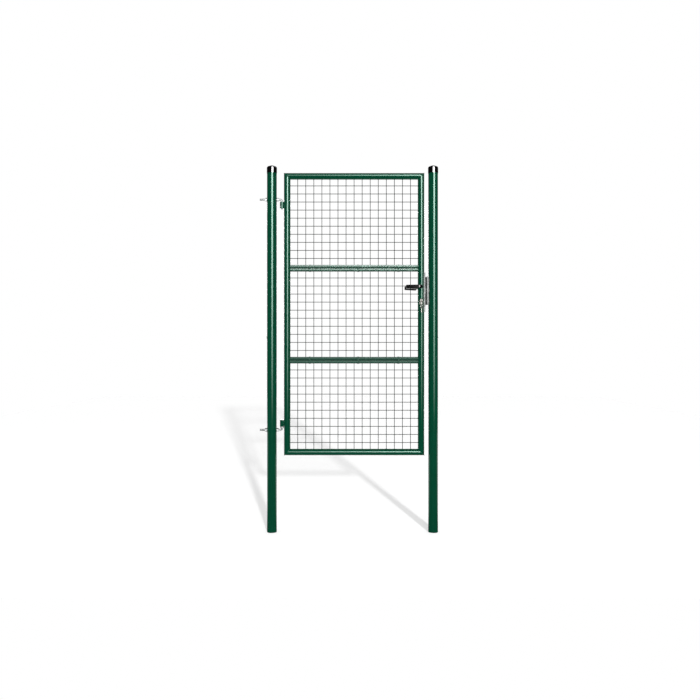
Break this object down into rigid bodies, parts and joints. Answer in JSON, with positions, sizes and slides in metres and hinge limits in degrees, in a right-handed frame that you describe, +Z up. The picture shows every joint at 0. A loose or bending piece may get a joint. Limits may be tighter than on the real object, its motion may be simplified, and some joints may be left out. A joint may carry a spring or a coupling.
{
  "type": "single-leaf mesh garden gate with posts",
  "caption": "Single-leaf garden gate of welded mesh in a round tube frame, hung between two capped round posts, with a lever lock.",
  "frame": {"origin": "centre of the hinge post's foot, at ground level", "axes": "+X along the closed leaf from the hinge post to the latch post, +Y to the back of the gate, +Z up"},
  "size_m": [1.112, 0.136, 2.272],
  "materials": {
    "green_coat": "glossy moss green powder coat over zinc",
    "clamp_coat": "glossy moss green coat on pressed strip",
    "mesh_coat": "thin green coat over zinc wire",
    "cap_plastic": "black moulded plastic",
    "lever_nylon": "black glossy nylon",
    "stop_rubber": "matt black rubber strip",
    "galvanised": "bright zinc plated steel",
    "nickel": "nickel plated brass"
  },
  "bodies": {
    "posts": {"hinge_post": "green_coat", "latch_post": "green_coat", "hinge_post_cap": "cap_plastic", "latch_post_cap": "cap_plastic", "upper_hinge_bolt": "galvanised", "lower_hinge_bolt": "galvanised", "hinge_nuts": "galvanised", "hinge_washers": "galvanised", "strike": "galvanised", "stop_lining": "stop_rubber", "wire_lugs": "galvanised"},
    "leaf": {"hinge_stile": "green_coat", "lock_stile": "green_coat", "top_rail": "green_coat", "bottom_rail": "green_coat", "upper_hinge_sleeve": "green_coat", "lower_hinge_sleeve": "green_coat", "lower_mesh": "mesh_coat", "middle_mesh": "mesh_coat", "upper_mesh": "mesh_coat", "lower_clamp_front": "clamp_coat", "lower_clamp_back": "clamp_coat", "upper_clamp_front": "clamp_coat", "upper_clamp_back": "clamp_coat", "clamp_discs": "clamp_coat", "clamp_bolts": "clamp_coat", "lock_case": "galvanised", "latch_tongue": "galvanised", "lock_cylinder": "nickel", "key": "nickel", "key_ring": "nickel", "spare_key": "nickel"},
    "handle": {"front_lever": "lever_nylon", "back_lever": "lever_nylon", "spindle": "galvanised"}
  },
  "joints": [
    {"name": "gate_swing", "type": "hinge", "parent": "posts", "child": "leaf", "pos_m": [0.0624, 0, 0], "axis": [0, 0, -1], "range_deg": [0, 95]},
    {"name": "handle_turn", "type": "hinge", "parent": "leaf", "child": "handle", "pos_m": [0.925, 0, 1.519], "axis": [0, -1, 0], "range_deg": [0, 40], "stiffness_Nm_per_rad": 1, "springref_deg": -17.19}
  ]
}
